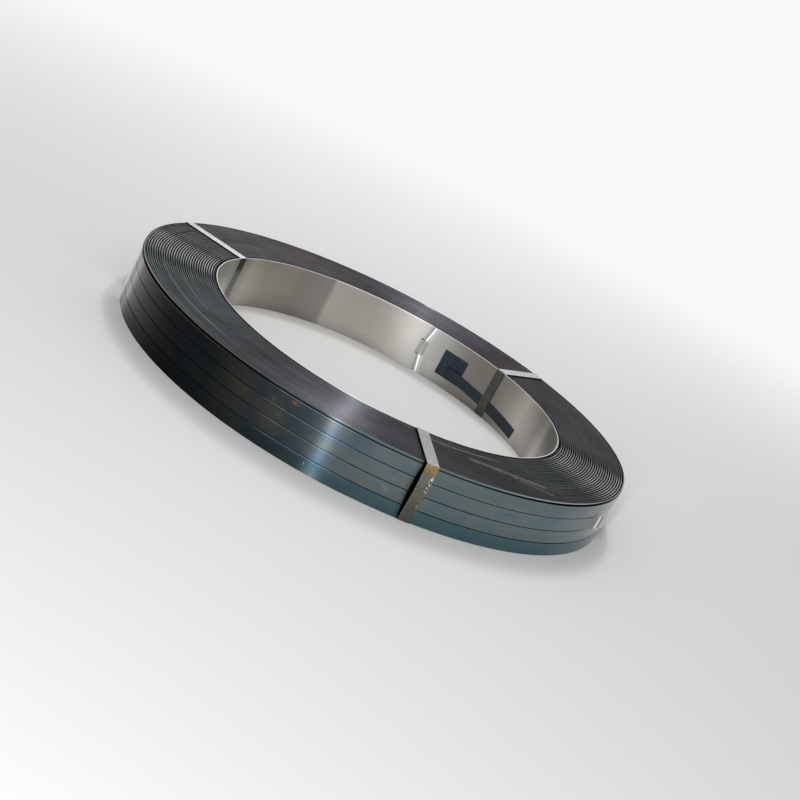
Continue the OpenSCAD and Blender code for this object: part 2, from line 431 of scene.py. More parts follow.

# A spot with a ragged edge, for wear and for a painted highlight: 1 inside, 0 outside
spot_mask, given, out = shader_group("ragged_spot", {
    "Angle": 0.0, "Height": 0.0, "Half angle": 1.0, "Half height": 0.01, "Raggedness": 1.5, "Grain": 350.0,
}, "Value")
where = polar_of(spot_mask)
off_angle = calc(spot_mask, "SUBTRACT", where["Angle"], given["Angle"])
off_angle = calc(spot_mask, "DIVIDE", off_angle, given["Half angle"])
off_height = calc(spot_mask, "SUBTRACT", where["Height"], given["Height"])
off_height = calc(spot_mask, "DIVIDE", off_height, given["Half height"])
off = add(spot_mask, "ShaderNodeCombineXYZ", X=off_angle, Y=off_height)
reach = vec(spot_mask, "LENGTH", off.outputs[0])
ragged = noise(spot_mask, given["Grain"], 5.0)
rag = calc(spot_mask, "MULTIPLY_ADD", ragged, given["Raggedness"], reach)
inside = smooth(spot_mask, rag, 1.35, 0.95)
spot_mask.links.new(inside, out["Value"])

# The line of one lap over part of a turn, for painted highlights and painted shade on laps that stand proud of
# their neighbours or below them
lap_line, given, out = shader_group("single_lap", {
    "Lap radius": 0.25, "Middle angle": 0.0, "Half angle": 10.0,
}, "Value")
where = polar_of(lap_line)
off = apart(lap_line, where["Radius"], given["Lap radius"])
on_line = smooth(lap_line, off, 0.0010, 0.0004)
away = apart(lap_line, where["Angle"], given["Middle angle"])
away = calc(lap_line, "DIVIDE", away, given["Half angle"])
in_reach = smooth(lap_line, away, 1.1, 0.7)
line = calc(lap_line, "MULTIPLY", on_line, in_reach)
lap_line.links.new(line, out["Value"])

# A pale streak across the laps, for scuffs and for a painted sheen, between two points seen from above: 1 on
# it, 0 away from it
scuff_and_sheen, given, out = shader_group("scuff_and_sheen", {
    "From": (0.0, 0.0, 0.0), "To": (0.1, 0.0, 0.0), "Half width": 0.002,
}, "Value")
place = add(scuff_and_sheen, "ShaderNodeTexCoord").outputs["Object"]
flat = vec(scuff_and_sheen, "MULTIPLY", place, (1, 1, 0))
here = vec(scuff_and_sheen, "SUBTRACT", flat, given["From"])
span = vec(scuff_and_sheen, "SUBTRACT", given["To"], given["From"])
reached = vec(scuff_and_sheen, "DOT_PRODUCT", here, span)
whole = vec(scuff_and_sheen, "DOT_PRODUCT", span, span)
share = add(scuff_and_sheen, "ShaderNodeMath", {"operation": "DIVIDE", "use_clamp": True}, _0=reached, _1=whole)
foot = vec(scuff_and_sheen, "SCALE", span, Scale=share.outputs[0])
aside = vec(scuff_and_sheen, "DISTANCE", here, foot)
aside = calc(scuff_and_sheen, "DIVIDE", aside, given["Half width"])
torn = grouped(scuff_and_sheen, streaks, Around=14.0, Across=700.0, Detail=3.0)
torn = calc(scuff_and_sheen, "MULTIPLY_ADD", torn, 2.4, aside)
inside = smooth(scuff_and_sheen, torn, 2.3, 1.3)
scuff_and_sheen.links.new(inside, out["Value"])


def by_angle(tree, stops):
    """A colour or a number that changes round the coil, from stops of (angle in degrees, value)."""
    share = calc(tree, "DIVIDE", polar_of(tree)["Angle"], 360.0)
    return ramp(tree, share, [(degrees / 360, value) for degrees, value in stops])


def mixed(tree, kind, share, first, second):
    """Two colours blended by a share, which is a number or a socket."""
    return add(tree, "ShaderNodeMix", {"data_type": "RGBA", "blend_type": kind}, _0=share, _6=first,
               _7=second).outputs[2]


def metal(tree, surface, **inputs):
    tree.links.new(add(tree, "ShaderNodeBsdfPrincipled", Metallic=1.0, **inputs).outputs[0], surface)


def strap_steel(name, tint, rough, grain, anisotropy, dent, glancing=1.0):
    """Rolled steel whose grain runs along the strap; "glancing" is how bright it stays at a glancing angle."""
    made, tree, surface = material(name)
    colour = tint(tree)
    fine = grouped(tree, streaks, Around=6.0, Across=1500.0, Detail=4.0)
    light = ramp(tree, fine, [(0.32, (0.33, 0.33, 0.34)), (0.68, (0.68, 0.67, 0.66))])
    colour = mixed(tree, "OVERLAY", grain, colour, light)
    dents = add(tree, "ShaderNodeBump", Strength=dent, Distance=0.0002, Height=fine)
    tangent = add(tree, "ShaderNodeTangent", {"direction_type": "RADIAL", "axis": "Z"})
    metal(tree, surface, Base_Color=colour, Roughness=rough, Normal=dents.outputs[0], Anisotropic=anisotropy,
          Anisotropic_Rotation=0.25, Tangent=tangent.outputs[0], Specular_Tint=rgba((glancing,) * 3))
    return made


# Each tie band: its angle, its shifts at the bore and at the wall, and the side and reach of its shade
BANDS = {
    "left": (161.2, 0.0, -0.0045, 1.0, 0.0082),
    "rear": (50.8, 0.0, 0.0045, -1.0, 0.0082),
    "front": (285.4, 0.0035, 0.0, -1.0, 0.0069),
}
BAND_SHADE = rgba((0.003, 0.003, 0.004))


def shaded_by_bands(tree, colour):
    for angle, bore_shift, wall_shift, side, reach in BANDS.values():
        shade = grouped(tree, beside, Band_angle=angle, Bore_shift=bore_shift, Wall_shift=wall_shift,
                        Side=side, Reach=reach)
        colour = mixed(tree, "MIX", shade, colour, BAND_SHADE)
    return colour


# The wall's tints by angle. Much of their change is painted reflection: the bright bars near 190 and 202
# degrees, the near black from 206 to 240 degrees, and the blue round the highlight near 266 degrees
WALL_TINTS_AND_REFLECTIONS = [
    (0, (0.10, 0.13, 0.14)), (120, (0.08, 0.10, 0.11)), (176, (0.22, 0.24, 0.25)),
    (184, (0.30, 0.32, 0.33)), (189, (0.78, 0.83, 0.85)), (195.5, (0.76, 0.81, 0.83)),
    (197.5, (0.12, 0.13, 0.13)), (200.5, (0.11, 0.12, 0.115)), (202.5, (0.33, 0.35, 0.33)),
    (206, (0.023, 0.0235, 0.0215)), (212, (0.0045, 0.0041, 0.0032)), (226, (0.0062, 0.0040, 0.0026)),
    (229, (0.0055, 0.0070, 0.0095)), (240, (0.013, 0.016, 0.017)), (248, (0.036, 0.038, 0.035)),
    (258, (0.050, 0.060, 0.066)), (264, (0.070, 0.087, 0.098)), (267, (0.104, 0.123, 0.134)),
    (270, (0.105, 0.140, 0.155)), (276, (0.145, 0.180, 0.183)), (312, (0.140, 0.185, 0.195)),
    (330, (0.165, 0.200, 0.205)), (340, (0.210, 0.225, 0.220)),
]
# The lowest width of strap is bluer than the others, on the right of these angles
LOWEST_WIDTH = (0.0150, 0.0140)
BLUER_FROM, BLUER_TO = 242.0, 256.0
BLUER = rgba((0.60, 0.84, 0.95))
# The widths' upper edges get a painted highlight near this angle, and the lip's edges a brown painted highlight
# at the left
EDGE_GLINT_AT = 262.0
EDGE_GLINT = rgba((0.30, 0.36, 0.40))
LIP_LINE_GLINTS_AT = 221.0
LIP_LINE_GLINT_DEPTHS = (0.0023, 0.0036)
LIP_LINE_GLINT = rgba((0.075, 0.050, 0.032))
# The blueing drifts along each strap between navy and straw, and is mottled most beside the highlight
DRIFT_TINTS = [(0.38, (0.36, 0.45, 0.55)), (0.50, (0.50, 0.50, 0.50)), (0.62, (0.58, 0.54, 0.47))]
MOTTLED_AT = 259.0
MOTTLE_TINTS = [(0.38, (0.32, 0.41, 0.52)), (0.50, (0.46, 0.47, 0.46)), (0.62, (0.63, 0.57, 0.45))]
# Worn spots, and at 341.7 degrees a painted highlight beside the strap's outer end: angle, height, half angle,
# half height, raggedness, grain, strength and tint
WORN_SPOTS_AND_GLINT = (
    (256.0, 0.0360, 3.4, 0.0160, 2.0, 520.0, 0.7, (0.110, 0.095, 0.088)),
    (258.2, 0.0535, 2.4, 0.0045, 1.7, 800.0, 0.85, (0.210, 0.140, 0.085)),
    (254.3, 0.0460, 2.2, 0.0090, 2.0, 600.0, 0.6, (0.110, 0.095, 0.085)),
    (264.4, 0.0085, 0.16, 0.0036, 1.4, 1500.0, 0.45, (0.45, 0.44, 0.41)),
    (341.7, 0.0240, 1.0, 0.0072, 0.6, 250.0, 0.9, (0.80, 0.80, 0.78)),
    (279.8, 0.0215, 2.4, 0.0080, 1.5, 120.0, 0.35, (0.30, 0.32, 0.30)),
    (280.3, 0.0345, 1.8, 0.0070, 1.5, 120.0, 0.25, (0.20, 0.30, 0.33)),
)
# Only the strap's outer end lies beyond this radius; its sheared end is bare steel, painted with bright
# reflected streaks and one dark line
SPRUNG_R = COIL_R + 0.0022
CUT_FROM, CUT_TO = 334.0, 338.0
CUT_END_TINTS_AND_GLINTS = [(0.0, (0.20, 0.21, 0.20)), (0.14, (0.90, 0.90, 0.89)), (0.30, (0.85, 0.85, 0.84)),
             (0.40, (0.40, 0.41, 0.40)), (0.52, (0.12, 0.12, 0.12)), (0.62, (0.45, 0.45, 0.44)),
             (1.0, (0.60, 0.60, 0.59))]


# The wall's colour: blued tints with painted reflections by angle, painted highlights on edges and beside the
# outer end, wear, and painted shade beside the tie bands
def wall_tint_and_painted_light(tree):
    colour = by_angle(tree, WALL_TINTS_AND_REFLECTIONS)
    where = polar_of(tree)
    lowest = linear(tree, where["Height"], *LOWEST_WIDTH)
    right = smooth(tree, where["Angle"], BLUER_FROM, BLUER_TO)
    colour = mixed(tree, "MULTIPLY", calc(tree, "MULTIPLY", lowest, right), colour, BLUER)
    # Painted highlight along the widths' upper edges near the wall's highlight
    edge_glint = smooth(tree, apart(tree, where["Angle"], EDGE_GLINT_AT), 12.0, 6.0)
    for middle in strap_middles:
        off = apart(tree, where["Height"], middle + STRAP_W / 2 + 0.0003)
        edge = linear(tree, off, 0.0007, 0.0002, To_Max=0.75)
        colour = mixed(tree, "MIX", calc(tree, "MULTIPLY", edge, edge_glint), colour, EDGE_GLINT)
    # Brown painted highlight along the lip's edges at the left
    at_left = smooth(tree, apart(tree, where["Angle"], LIP_LINE_GLINTS_AT), 24.0, 16.0)
    for depth in LIP_LINE_GLINT_DEPTHS:
        edge = linear(tree, apart(tree, where["Height"], END_HIGH - depth), 0.0005, 0.0002)
        colour = mixed(tree, "MIX", calc(tree, "MULTIPLY", edge, at_left), colour, LIP_LINE_GLINT)
    drift = grouped(tree, streaks, Around=9.0, Across=110.0, Detail=2.0)
    colour = mixed(tree, "OVERLAY", 0.45, colour, ramp(tree, drift, DRIFT_TINTS))
    mottled = smooth(tree, apart(tree, where["Angle"], MOTTLED_AT), 22.0, 8.0, To_Max=0.7)
    colour = mixed(tree, "OVERLAY", mottled, colour, ramp(tree, noise(tree, 38.0, 3.0), MOTTLE_TINTS))
    # Worn spots, and one painted highlight
    for angle, height, half_angle, half_height, raggedness, grain, strength, tint in WORN_SPOTS_AND_GLINT:
        worn = grouped(tree, spot_mask, Angle=angle, Height=height, Half_angle=half_angle,
                       Half_height=half_height, Raggedness=raggedness, Grain=grain)
        colour = mixed(tree, "MIX", calc(tree, "MULTIPLY", worn, strength), colour, rgba(tint))
    # The strap's outer end: bare steel with painted reflected streaks
    sprung = calc(tree, "GREATER_THAN", where["Radius"], SPRUNG_R)
    cut = ramp(tree, linear(tree, where["Angle"], CUT_FROM, CUT_TO), CUT_END_TINTS_AND_GLINTS)
    return shaded_by_bands(tree, mixed(tree, "MIX", sprung, colour, cut))


# How far down the older laps at the lip catch the light, in metres by angle, with painted shade below, and how
# strong the painted highlight on their top edges is. At the back they are open to view where the outermost lap
# crosses to the next width.
LIP_LIT = [(0, 0.0019), (26, 0.0019), (30, 0.02), (106, 0.02), (110, 0.0019), (185, 0.0012), (196, 0.0010),
           (240, 0.0008), (256, 0.0019), (290, 0.0019), (306, 0.00135), (325, 0.00084), (345, 0.00075)]
LIP_TOP_GLINTS = [(0, 0.2), (182, 0.3), (190, 1.0), (204, 0.9), (225, 0.25), (262, 0.1), (295, 0.1), (310, 0.6),
              (345, 0.9)]
LIP_TOP = (0.0011, 0.0008)
LIP_TOP_GLINT = rgba((0.55, 0.58, 0.58))
GAP_SHADE = rgba((0.005, 0.006, 0.008))


def under_tint_and_painted_light(tree):
    """The older laps: painted shade in the gaps between the outermost widths, blued above them, with a painted
    highlight on the top edges at the lip.
    """
    from_top = calc(tree, "SUBTRACT", END_HIGH, polar_of(tree)["Height"])
    past = calc(tree, "SUBTRACT", by_angle(tree, LIP_LIT), from_top)
    above = linear(tree, past, -0.00015, 0.00015)
    blued = mixed(tree, "MULTIPLY", 1.0, wall_tint_and_painted_light(tree), rgba((0.9, 1.0, 1.0)))
    # Painted shade below the depth that catches the light
    colour = mixed(tree, "MIX", above, GAP_SHADE, blued)
    # Painted highlight on the lip's top edges
    edge_glint = calc(tree, "MULTIPLY", by_angle(tree, LIP_TOP_GLINTS), linear(tree, from_top, *LIP_TOP))
    return shaded_by_bands(tree, mixed(tree, "MIX", edge_glint, colour, LIP_TOP_GLINT))


# How far the laps stand apart on the ends, by angle: 1 is loose and 0 is tight. Then the depth of the hollows
# between tight laps, and the ends' tints by angle, with painted highlights near 185 and 347 degrees.
LOOSENESS = [(0, 0.35), (6, 0.10), (20, 0.04), (150, 0.04), (172, 0.15), (178, 1.0), (195, 1.0), (201, 0.30),
             (225, 0.08), (240, 0.03), (318, 0.03), (334, 0.25), (339, 1.0), (356, 1.0), (360, 0.35)]
TIGHT_DEPTH = 0.0004
END_TINTS_AND_GLINTS = [
    (0, (0.080, 0.080, 0.084)), (20, (0.085, 0.083, 0.087)), (50, (0.080, 0.075, 0.081)),
    (62, (0.052, 0.048, 0.054)), (76, (0.058, 0.056, 0.065)), (90, (0.074, 0.074, 0.085)),
    (104, (0.074, 0.070, 0.076)), (120, (0.125, 0.117, 0.122)), (150, (0.145, 0.137, 0.141)),
    (168, (0.145, 0.140, 0.145)), (176, (0.210, 0.208, 0.210)), (181, (0.600, 0.597, 0.597)),
    (190, (0.560, 0.567, 0.566)), (197, (0.170, 0.190, 0.188)), (212, (0.150, 0.178, 0.180)),
    (226, (0.110, 0.128, 0.130)), (240, (0.090, 0.090, 0.096)), (256, (0.088, 0.087, 0.097)),
    (272, (0.074, 0.075, 0.086)), (285, (0.090, 0.086, 0.092)), (300, (0.062, 0.063, 0.067)),
    (315, (0.063, 0.068, 0.070)), (332, (0.090, 0.098, 0.100)), (341, (0.440, 0.440, 0.443)),
    (353, (0.400, 0.400, 0.403)), (358, (0.090, 0.091, 0.095)),
]
# Single laps that stand out as lines of painted highlight (proud) and painted shade (sunk): radius, middle
# angle and half angle
PROUD_LAPS = ((0.2125, 293.0, 9.0), (0.2182, 295.5, 10.0), (0.2620, 212.0, 25.0), (0.2530, 208.0, 13.0),
              (0.2768, 222.0, 22.0), (0.2445, 214.0, 11.0))
SUNK_LAPS = ((0.2098, 292.0, 9.0), (0.2152, 294.0, 10.0), (0.2690, 333.0, 15.0), (0.2655, 173.0, 11.0),
             (0.2470, 152.0, 9.0))
PROUD_LAP_HIGHLIGHT = rgba((0.22, 0.24, 0.24))
SUNK_LAP_SHADE = rgba((0.030, 0.030, 0.032))
# Scuffs, the first of them a wide painted sheen: both ends seen from above, and half the width
SCUFFS_AND_SHEEN = (((0.110, -0.205, 0), (0.189, -0.177, 0), 0.0042), ((0.154, -0.195, 0), (0.200, -0.186, 0), 0.0018),
          ((0.118, -0.182, 0), (0.138, -0.172, 0), 0.0010))
SCUFF_AND_SHEEN_TINT = rgba((0.30, 0.30, 0.29))
LINE_TINTS = [(0.30, (0.12, 0.12, 0.13)), (0.50, (0.5, 0.5, 0.5)), (0.72, (0.85, 0.84, 0.84))]
PATCH_TINTS = [(0.35, (0.44, 0.38, 0.37)), (0.65, (0.56, 0.60, 0.62))]
# Depths below the ends between which the hollows darken with painted shade, where the laps are loose
LIT_DEPTH, DARK_DEPTH = 0.00008, 0.0006
# Within these radii the first laps beside the bore are darkened: painted shade next to the core
FIRST_LAP_SHADE = (WOUND_R + 0.0030, WOUND_R + 0.0015)


def end_tint_and_painted_light(tree):
    """The laps' edges, with painted shade in the hollows, painted highlights, patches, lines, scuffs and a
    painted sheen.
    """
    where = polar_of(tree)
    half_h = COIL_H / 2
    # Painted shade: the hollows between the laps darken with depth, most where the laps are loose
    off = apart(tree, where["Height"], (END_LOW + END_HIGH) / 2)
    level = smooth(tree, off, half_h - DARK_DEPTH, half_h - LIT_DEPTH, To_Min=0.01)
    loose = calc(tree, "POWER", by_angle(tree, LOOSENESS), 0.7)
    level = add(tree, "ShaderNodeMix", _0=loose, _2=1.0, _3=level).outputs[0]
    dark = add(tree, "ShaderNodeCombineXYZ", X=level, Y=level, Z=level).outputs[0]
    # Tints by angle, with painted highlights at the left and right ends
    colour = mixed(tree, "MULTIPLY", 1.0, by_angle(tree, END_TINTS_AND_GLINTS), dark)
    # Painted shade on the first laps beside the bore
    first = smooth(tree, where["Radius"], *FIRST_LAP_SHADE)
    colour = mixed(tree, "MULTIPLY", first, colour, rgba((0.2, 0.2, 0.22)))
    lines = grouped(tree, streaks, Around=1.2, Across=420.0, Detail=2.0)
    colour = mixed(tree, "OVERLAY", 0.35, colour, ramp(tree, lines, LINE_TINTS))
    colour = mixed(tree, "OVERLAY", 0.6, colour, ramp(tree, noise(tree, 30.0, 4.0), PATCH_TINTS))
    # Painted highlight on proud laps, painted shade on sunk laps
    for laps, tint in ((PROUD_LAPS, PROUD_LAP_HIGHLIGHT), (SUNK_LAPS, SUNK_LAP_SHADE)):
        for lap_radius, middle, half_angle in laps:
            line = grouped(tree, lap_line, Lap_radius=lap_radius, Middle_angle=middle, Half_angle=half_angle)
            colour = mixed(tree, "MIX", line, colour, tint)
    # The first is a wide painted sheen, the others are scuffs
    for start, end, half_width in SCUFFS_AND_SHEEN:
        streaked = grouped(tree, scuff_and_sheen, From=start, To=end, Half_width=half_width)
        colour = mixed(tree, "MIX", calc(tree, "MULTIPLY", streaked, 0.5), colour, SCUFF_AND_SHEEN_TINT)
    return shaded_by_bands(tree, colour)


TAIL_TINT = rgba((0.038, 0.049, 0.063))
wall_finish = strap_steel("blued_wall", wall_tint_and_painted_light, 0.20, 0.30, 0.97, 0.03)
under_finish = strap_steel("blued_under_laps", under_tint_and_painted_light, 0.20, 0.30, 0.97, 0.03, 0.4)
end_finish = strap_steel("blued_lap_edges", end_tint_and_painted_light, 0.27, 0.20, 0.97, 0.03, 0.5)
tail_finish = strap_steel("blued_inner_end", lambda tree: TAIL_TINT, 0.35, 0.25, 0.6, 0.10)
# Near-black steel as painted shade, for the winding's body where it shows between the straps on the wall and
# for the ends of the tongue's slot
hollow_shade_finish, tree, surface = material("winding_hollows")
metal(tree, surface, Base_Color=rgba((0.012, 0.015, 0.021)), Roughness=0.5, Specular_Tint=rgba((0.4,) * 3))

# Packed body of the winding, seen in the hollows between the rings and between the straps.
# The laps lie tight along the near and far sides, and stand apart at the left and right.
UNDER_R = COIL_R - 3.2 * STRAP_T
BODY_STEPS = 360
FACE_REACH = 0.0005


def hollow_depth(a):
    """Depth of the hollows between the rings at an angle round the coil."""
    at = math.degrees(a) % 360
    for (low, first), (high, last) in zip(LOOSENESS, LOOSENESS[1:]):
        if low <= at <= high:
            loose = first + (last - first) * (at - low) / (high - low)
            return TIGHT_DEPTH + (RING_HOLLOW - TIGHT_DEPTH) * loose


def body_outline(a):
    depth = hollow_depth(a)
    return [(WOUND_R, END_LOW + depth), (UNDER_R, END_LOW + depth),
            (UNDER_R, END_HIGH - depth), (WOUND_R, END_HIGH - depth)]


points = []
for i in range(BODY_STEPS):
    a = 2 * math.pi * i / BODY_STEPS
    points += [around(r, a, z) for r, z in body_outline(a)]
body_mesh = mesh_of("winding_body", points, ring_faces(BODY_STEPS, len(body_outline(0.0))), end_finish,
                    tail_finish, hollow_shade_finish)
for face in body_mesh.polygons:
    from_axis = face.center.xy.length
    in_bore, on_wall = from_axis < WOUND_R + FACE_REACH, from_axis > UNDER_R - FACE_REACH
    face.material_index = 1 if in_bore else 2 if on_wall else 0
link("winding_body", body_mesh, "blued_strap", "strap_coil")

# The laps' edges run as one spiral on each end
LAP_STEPS = 200
LAP_T = 0.00118
LAP_H = RING_HOLLOW + 0.0005
FIRST_R = WOUND_R + RING_T / 2
LAST_R = COIL_R - STRAP_T - RING_T / 2 - 0.0003
steps = (RINGS - 1) * LAP_STEPS
for side, end, inward in (("upper", END_HIGH, -1), ("lower", END_LOW, 1)):
    middle = end + inward * (LAP_H / 2 + 0.0001)
    points = [around(FIRST_R + (LAST_R - FIRST_R) * i / steps, 2 * math.pi * i / LAP_STEPS, middle)
              for i in range(steps + 1)]
    laps = grow(sweep, route(side, points, False), {
        "Strap height": LAP_H, "Strap thickness": LAP_T, "Edge radius": 0.00025, "Wander out": 0.0016,
        "Wander up": 0.0006, "Wander scale": 9.0, "Wander seed": 3.0, "Finish": end_finish})
    link(f"laps_{side}", laps, "blued_strap")

# Older laps on the wall: middle height, how many strap thicknesses in from the outside, and finish. The first
# two make the lip. The outermost lap starts at the top and ends on the second width.
OLDER_LAPS = (
    (END_HIGH - STRAP_W / 2 - 0.0001, 2.4, under_finish),
    (END_HIGH - STRAP_W / 2 - 0.0014, 1.8, under_finish),
    (strap_middles[1], 1.8, wall_finish),
    (strap_middles[2], 0.9, wall_finish),
    (strap_middles[3], 0.9, wall_finish),
)
for i, (middle, laps_in, finish) in enumerate(OLDER_LAPS):
    points = [around(COIL_R - laps_in * STRAP_T, 2 * math.pi * j / WALL_STEPS, middle)
              for j in range(WALL_STEPS)]
    mesh = grow(sweep, route("older", points, True), {
        "Strap height": STRAP_W + 0.0006, "Edge radius": 0.0001, "Wander out": 0.0001, "Wander up": 0.0005,
        "Wander scale": 4.0, "Wander seed": 1.0 + i, "Finish": finish})
    link(f"older_lap_{i + 1}", mesh, "blued_strap")

OUTER_R = COIL_R - STRAP_T / 2 - 0.0001
START_ANGLE = 105.0
CROSS_FROM, CROSS_TO = 30.0, 95.0
SPRING_ANGLE = 328.5
SPRING_LIFT = math.radians(1.5)
SPRING_L = 0.050
SPRING_STEPS = 10
STEP = 1.0


def eased(share):
    """Eases in and out between 0 and 1."""
    return share * share * (3 - 2 * share)


def cross_over(turn_angle):
    """Height of the outermost strap: level, then across to the next width once a turn, at the back."""
    laps_done = (turn_angle - CROSS_FROM) / 360
    whole = math.floor(laps_done)
    share = min(1.0, max(0.0, (laps_done - whole) * 360 / (CROSS_TO - CROSS_FROM)))
    return strap_middles[0] - (whole + eased(share) - 1) * (STRAP_W + gap)


points = []
angle = START_ANGLE
while angle < 360 + SPRING_ANGLE:
    points.append(around(OUTER_R, math.radians(angle), cross_over(angle)))
    angle += STEP
leave = Vector(around(OUTER_R, math.radians(SPRING_ANGLE), cross_over(360 + SPRING_ANGLE)))
tangent = math.radians(SPRING_ANGLE + 90) - SPRING_LIFT
away = Vector((math.cos(tangent), math.sin(tangent), 0)) * SPRING_L
points += [tuple(leave + away * i / SPRING_STEPS) for i in range(SPRING_STEPS + 1)]
mesh = grow(sweep, route("outermost", points, False), {
    "Strap height": STRAP_W + 0.0008, "Edge radius": 0.0001, "Wander out": 0.0001, "Wander up": 0.0006,
    "Wander scale": 4.0, "Wander seed": 9.0, "Finish": wall_finish})
link("outermost_lap", mesh, "blued_strap")

# Inner end of the strap: it comes through the core's window and lies aslant in the bore,
# under the rear tie band, to its square cut end.
TAIL_R = BORE_R - 0.00003 - STRAP_T / 2
TAIL_FROM, TAIL_TO = 70.0, 33.3
TAIL_BENDS_FROM = 66.5
TAIL_STEPS = 60
TAIL_MIDDLE_ANGLE = 50.8
TAIL_MIDDLE_Z = END_HIGH - 0.0445
TAIL_SLOPE = math.radians(4.8)
points = []
for i in range(TAIL_STEPS + 1):
    angle = TAIL_FROM + (TAIL_TO - TAIL_FROM) * i / TAIL_STEPS
    share = max(0.0, (angle - TAIL_BENDS_FROM) / (TAIL_FROM - TAIL_BENDS_FROM))
    out_by = share * share * (WOUND_R + 0.001 - TAIL_R)
    along = TAIL_R * math.sin(math.radians(angle - TAIL_MIDDLE_ANGLE))
    points.append(around(TAIL_R + out_by, math.radians(angle), TAIL_MIDDLE_Z + along * math.tan(TAIL_SLOPE)))
mesh = grow(sweep, route("tail", points, False), {
    "Strap height": STRAP_W, "Edge radius": 0.0001, "Finish": tail_finish})
link("inner_end", mesh, "blued_strap")

# Core. One strip of bright sheet steel is rolled into a ring; its ends lap between two angles at the back,
# and a tongue of the hidden end comes through a slot. A window lets the strap's inner end through.
SHEET_T = 0.0008
LAP_EDGE = 117.0
LAP_END = 80.5
JOGGLE_FROM, JOGGLE_TO = 118.2, 120.2
WINDOW_ANGLES = (63.1, 72.7)
WINDOW_HEIGHTS = (END_HIGH - 0.048, END_HIGH - 0.016)
TONGUE_ANGLES = (79.0, 82.1)
TONGUE_HEIGHTS = (END_HIGH - 0.0385, END_HIGH - 0.0205)
TONGUE_MIDDLE = sum(TONGUE_HEIGHTS) / 2
# The sheet is creased where it lies over its hidden end: angle at both edges, bow of the line towards the
# middle, depth, and half width in degrees
CREASE_ANGLE = 79.0
CREASE_BOW = 1.7
CREASE_IN = 0.0009
CREASE_HALF = 0.55
# The crease's painted highlight keeps this far from the tongue's middle, and the sheet's cut rim is bare
CREASE_CLEAR = 0.0095
RIM_H = 0.0005
RIM_TINT = rgba((0.75, 0.75, 0.74))
CLOUD_TINTS = [(0.3, (0.44, 0.42, 0.40)), (0.7, (0.56, 0.57, 0.58))]
# The sheet's tints by angle hold painted reflections: bright streaks near 17, 34, 154 and 168 degrees, and the
# step in tone at the lap's edge at 117 degrees
CORE_TINTS_AND_REFLECTIONS = [
    (0, (0.360, 0.350, 0.330)), (12, (0.380, 0.370, 0.350)), (17, (0.600, 0.575, 0.540)),
    (22, (0.370, 0.360, 0.340)), (26, (0.440, 0.420, 0.392)), (34, (0.560, 0.540, 0.493)),
    (41, (0.345, 0.328, 0.302)), (47, (0.258, 0.240, 0.218)), (54, (0.232, 0.218, 0.196)),
    (62, (0.258, 0.237, 0.211)), (66, (0.280, 0.265, 0.241)), (74, (0.430, 0.430, 0.420)),
    (88, (0.355, 0.344, 0.322)), (97, (0.415, 0.396, 0.366)), (116.9, (0.500, 0.480, 0.450)),
    (117.1, (0.310, 0.298, 0.276)), (130, (0.265, 0.251, 0.230)), (145, (0.350, 0.335, 0.306)),
    (154, (0.560, 0.540, 0.476)), (161, (0.360, 0.360, 0.338)), (168, (0.740, 0.740, 0.690)),
    (180, (0.600, 0.588, 0.552)), (270, (0.530, 0.518, 0.494)),
]


def core_tint_and_painted_light(tree):
    where = polar_of(tree)
    clouds = ramp(tree, noise(tree, 35.0, 3.0), CLOUD_TINTS)
    colour = mixed(tree, "OVERLAY", 0.30, by_angle(tree, CORE_TINTS_AND_REFLECTIONS), clouds)
    rim = calc(tree, "GREATER_THAN", where["Height"], END_HIGH - RIM_H)
    colour = mixed(tree, "MIX", rim, colour, RIM_TINT)
    # The crease gets a painted white highlight, except beside the tongue
    off = apart(tree, where["Height"], TONGUE_MIDDLE)
    bow = linear(tree, off, 0.0, COIL_H / 2, To_Min=CREASE_ANGLE + CREASE_BOW, To_Max=CREASE_ANGLE)
    line = smooth(tree, apart(tree, where["Angle"], bow), 0.75, 0.25)
    clear = calc(tree, "GREATER_THAN", off, CREASE_CLEAR)
    return mixed(tree, "MIX", calc(tree, "MULTIPLY", line, clear), colour, rgba((1.0, 1.0, 1.0)))


core_finish = strap_steel("bright_sheet", core_tint_and_painted_light, 0.33, 0.08, 0.5, 0.03)


def sheet_radius(travel, z):
    """Radius of the sheet's inner face, by degrees travelled from its visible edge, and height."""
    joggle_start = LAP_EDGE + 360 - JOGGLE_TO
    share = min(1.0, max(0.0, (travel - joggle_start) / (JOGGLE_TO - JOGGLE_FROM)))
    radius = BORE_R + SHEET_T * 1.05 * eased(share)
    if travel < 60:
        bow = CREASE_BOW * (1 - min(1.0, abs(z - TONGUE_MIDDLE) / (COIL_H / 2)))
        off = (LAP_EDGE - travel) - (CREASE_ANGLE + bow)
        radius -= CREASE_IN * math.exp(-(off / CREASE_HALF) ** 2)
    return radius


def never_open(column, row):
    return False


def sheet(name, columns, rows, place, finish, is_open=never_open):
    """A plate of two layers on a grid, walled round its rim and round its open cells."""
    def index(layer, column, row):
        return (layer * (columns + 1) + column) * (rows + 1) + row

    points = [place(layer, c, r) for layer in (0, 1) for c in range(columns + 1) for r in range(rows + 1)]
    faces = []
    for c in range(columns):
        for r in range(rows):
            if is_open(c, r):
                continue
            corners = [(c, r), (c + 1, r), (c + 1, r + 1), (c, r + 1)]
            faces.append([index(0, *k) for k in corners])
            faces.append([index(1, *k) for k in reversed(corners)])
            for k, (column, row) in enumerate([(c, r - 1), (c + 1, r), (c, r + 1), (c - 1, r)]):
                outside = not (0 <= column < columns and 0 <= row < rows)
                if outside or is_open(column, row):
                    a, b = corners[k], corners[(k + 1) % 4]
                    faces.append([index(0, *b), index(0, *a), index(1, *a), index(1, *b)])
    return mesh_of(name, points, faces, finish)


